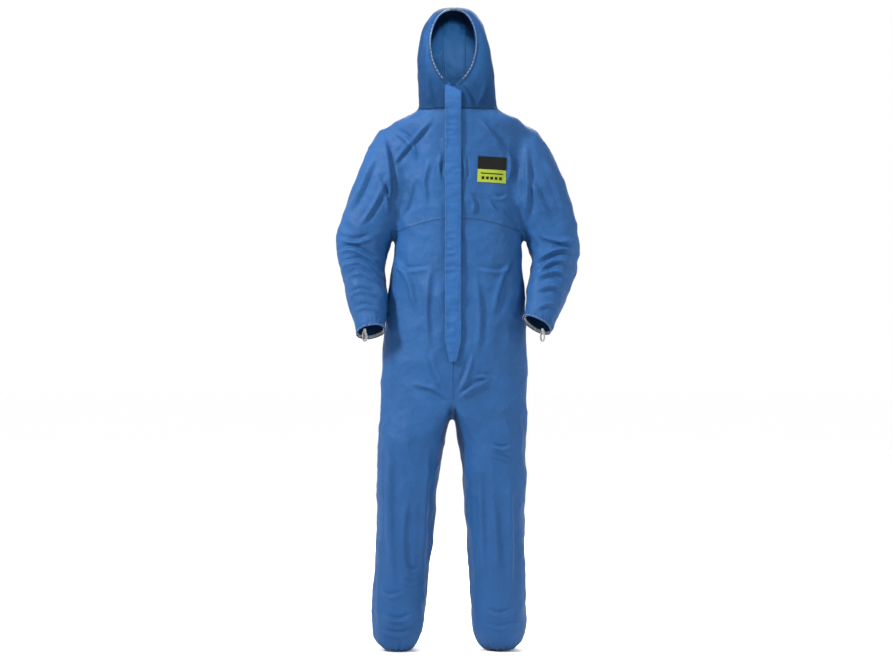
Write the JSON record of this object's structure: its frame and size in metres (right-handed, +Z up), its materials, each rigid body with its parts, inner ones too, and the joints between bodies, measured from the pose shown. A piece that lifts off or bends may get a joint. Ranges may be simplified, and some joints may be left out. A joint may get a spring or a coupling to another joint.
{
  "type": "chemical protective suit",
  "caption": "Disposable hooded protective coverall of blue non-woven cloth: storm flap over the zip, elastic face opening, cuffs and ankles, finger loops, chest label.",
  "frame": {"origin": "centre of the neck opening, on the neck seam", "axes": "+Z up towards the hood, -Y to the front of the wearer, -X to the wearer's right"},
  "size_m": [0.682, 0.2675, 1.7906],
  "materials": {
    "cloth": "matte non-woven",
    "elastic": "woven elastic",
    "label_print": "printed film",
    "label_cloth": "smooth",
    "zip_tape": "woven",
    "zip_coil": "nylon",
    "zip_metal": "satin",
    "adhesive": "tacky",
    "liner": "waxed"
  },
  "bodies": {
    "torso": {"front_upper_right": "cloth", "front_upper_left": "cloth", "back_upper": "cloth", "front_lower_right": "cloth", "front_lower_left": "cloth", "back_lower_right": "cloth", "back_lower_left": "cloth", "crotch_gusset": "cloth", "waist_elastic": "elastic", "chest_label": "label_print", "size_label": "label_cloth", "zip_tape_right": "zip_tape", "zip_tape_left": "zip_tape", "zip_coil_right": "zip_coil", "zip_coil_left": "zip_coil", "zip_top_stops": "zip_metal", "zip_bottom_stop": "zip_metal", "hood_neck_right": "cloth", "hood_neck_left": "cloth", "hood_nape": "cloth", "sleeve_cap_right": "cloth", "sleeve_cap_left": "cloth", "underarm_fold_right": "cloth", "underarm_fold_left": "cloth", "hip_fold_right": "cloth", "hip_fold_left": "cloth"},
    "flap": {"zip_flap": "cloth", "flap_adhesive": "adhesive", "adhesive_liner": "liner"},
    "slider": {"zip_slider": "zip_metal"},
    "pull_tab": {"zip_puller": "zip_metal"},
    "hood": {"hood_side_right": "cloth", "hood_side_left": "cloth", "hood_centre": "cloth", "face_elastic": "elastic"},
    "arm_upper_right": {"upper_sleeve_right": "cloth", "elbow_fold_right": "cloth"},
    "arm_lower_right": {"forearm_sleeve_right": "cloth", "cuff_elastic_right": "elastic"},
    "loop_right": {"finger_loop_right": "elastic"},
    "leg_upper_right": {"thigh_right": "cloth", "knee_fold_right": "cloth"},
    "leg_lower_right": {"shin_right": "cloth", "ankle_elastic_right": "elastic"},
    "arm_upper_left": {"upper_sleeve_left": "cloth", "elbow_fold_left": "cloth"},
    "arm_lower_left": {"forearm_sleeve_left": "cloth", "cuff_elastic_left": "elastic"},
    "loop_left": {"finger_loop_left": "elastic"},
    "leg_upper_left": {"thigh_left": "cloth", "knee_fold_left": "cloth"},
    "leg_lower_left": {"shin_left": "cloth", "ankle_elastic_left": "elastic"}
  },
  "joints": [
    {"name": "flap_open", "type": "hinge", "parent": "torso", "child": "flap", "pos_m": [-0.02, -0.125, -0.3], "axis": [0, 0, -1], "range_deg": [0, 170]},
    {"name": "zip_run", "type": "slide", "parent": "torso", "child": "slider", "axis": [0, 0, -1], "range_m": [0, 0.715]},
    {"name": "pull_tab_swing", "type": "hinge", "parent": "slider", "child": "pull_tab", "pos_m": [0.003, -0.12165, 0.053], "axis": [-1, 0, 0], "range_deg": [0, 120]},
    {"name": "hood_back", "type": "hinge", "parent": "torso", "child": "hood", "pos_m": [0.013, -0.01, 0.03], "axis": [-1, 0, 0], "range_deg": [0, 30], "deforming": ["hood_neck_right", "hood_neck_left", "hood_nape"]},
    {"name": "shoulder_raise_right", "type": "hinge", "parent": "torso", "child": "arm_upper_right", "pos_m": [-0.215, 0, -0.12], "axis": [0, 1, 0], "range_deg": [0, 35], "deforming": ["underarm_fold_right"]},
    {"name": "elbow_bend_right", "type": "hinge", "parent": "arm_upper_right", "child": "arm_lower_right", "pos_m": [-0.252, -0.018, -0.43], "axis": [-1, 0, 0], "range_deg": [0, 40], "deforming": ["elbow_fold_right"]},
    {"name": "finger_loop_swing_right", "type": "hinge", "parent": "arm_lower_right", "child": "loop_right", "pos_m": [-0.24, -0.126, -0.604], "axis": [-1, 0, 0], "range_deg": [-15, 60]},
    {"name": "hip_bend_right", "type": "hinge", "parent": "torso", "child": "leg_upper_right", "pos_m": [-0.1, 0, -0.795], "axis": [-1, 0, 0], "range_deg": [-15, 40], "deforming": ["hip_fold_right"]},
    {"name": "knee_bend_right", "type": "hinge", "parent": "leg_upper_right", "child": "leg_lower_right", "pos_m": [-0.13, 0, -1.17], "axis": [1, 0, 0], "range_deg": [0, 60], "deforming": ["knee_fold_right"]},
    {"name": "shoulder_raise_left", "type": "hinge", "parent": "torso", "child": "arm_upper_left", "pos_m": [0.245, 0, -0.12], "axis": [0, -1, 0], "range_deg": [0, 35], "deforming": ["underarm_fold_left"]},
    {"name": "elbow_bend_left", "type": "hinge", "parent": "arm_upper_left", "child": "arm_lower_left", "pos_m": [0.28, -0.018, -0.43], "axis": [-1, 0, 0], "range_deg": [0, 40], "deforming": ["elbow_fold_left"]},
    {"name": "finger_loop_swing_left", "type": "hinge", "parent": "arm_lower_left", "child": "loop_left", "pos_m": [0.248, -0.126, -0.604], "axis": [-1, 0, 0], "range_deg": [-15, 60]},
    {"name": "hip_bend_left", "type": "hinge", "parent": "torso", "child": "leg_upper_left", "pos_m": [0.106, 0, -0.795], "axis": [-1, 0, 0], "range_deg": [-15, 40], "deforming": ["hip_fold_left"]},
    {"name": "knee_bend_left", "type": "hinge", "parent": "leg_upper_left", "child": "leg_lower_left", "pos_m": [0.122, 0, -1.17], "axis": [1, 0, 0], "range_deg": [0, 60], "deforming": ["knee_fold_left"]}
  ],
  "couplings": [
    {"joint": "pull_tab_swing", "follows": "flap_open", "ratio": 0.7}
  ]
}
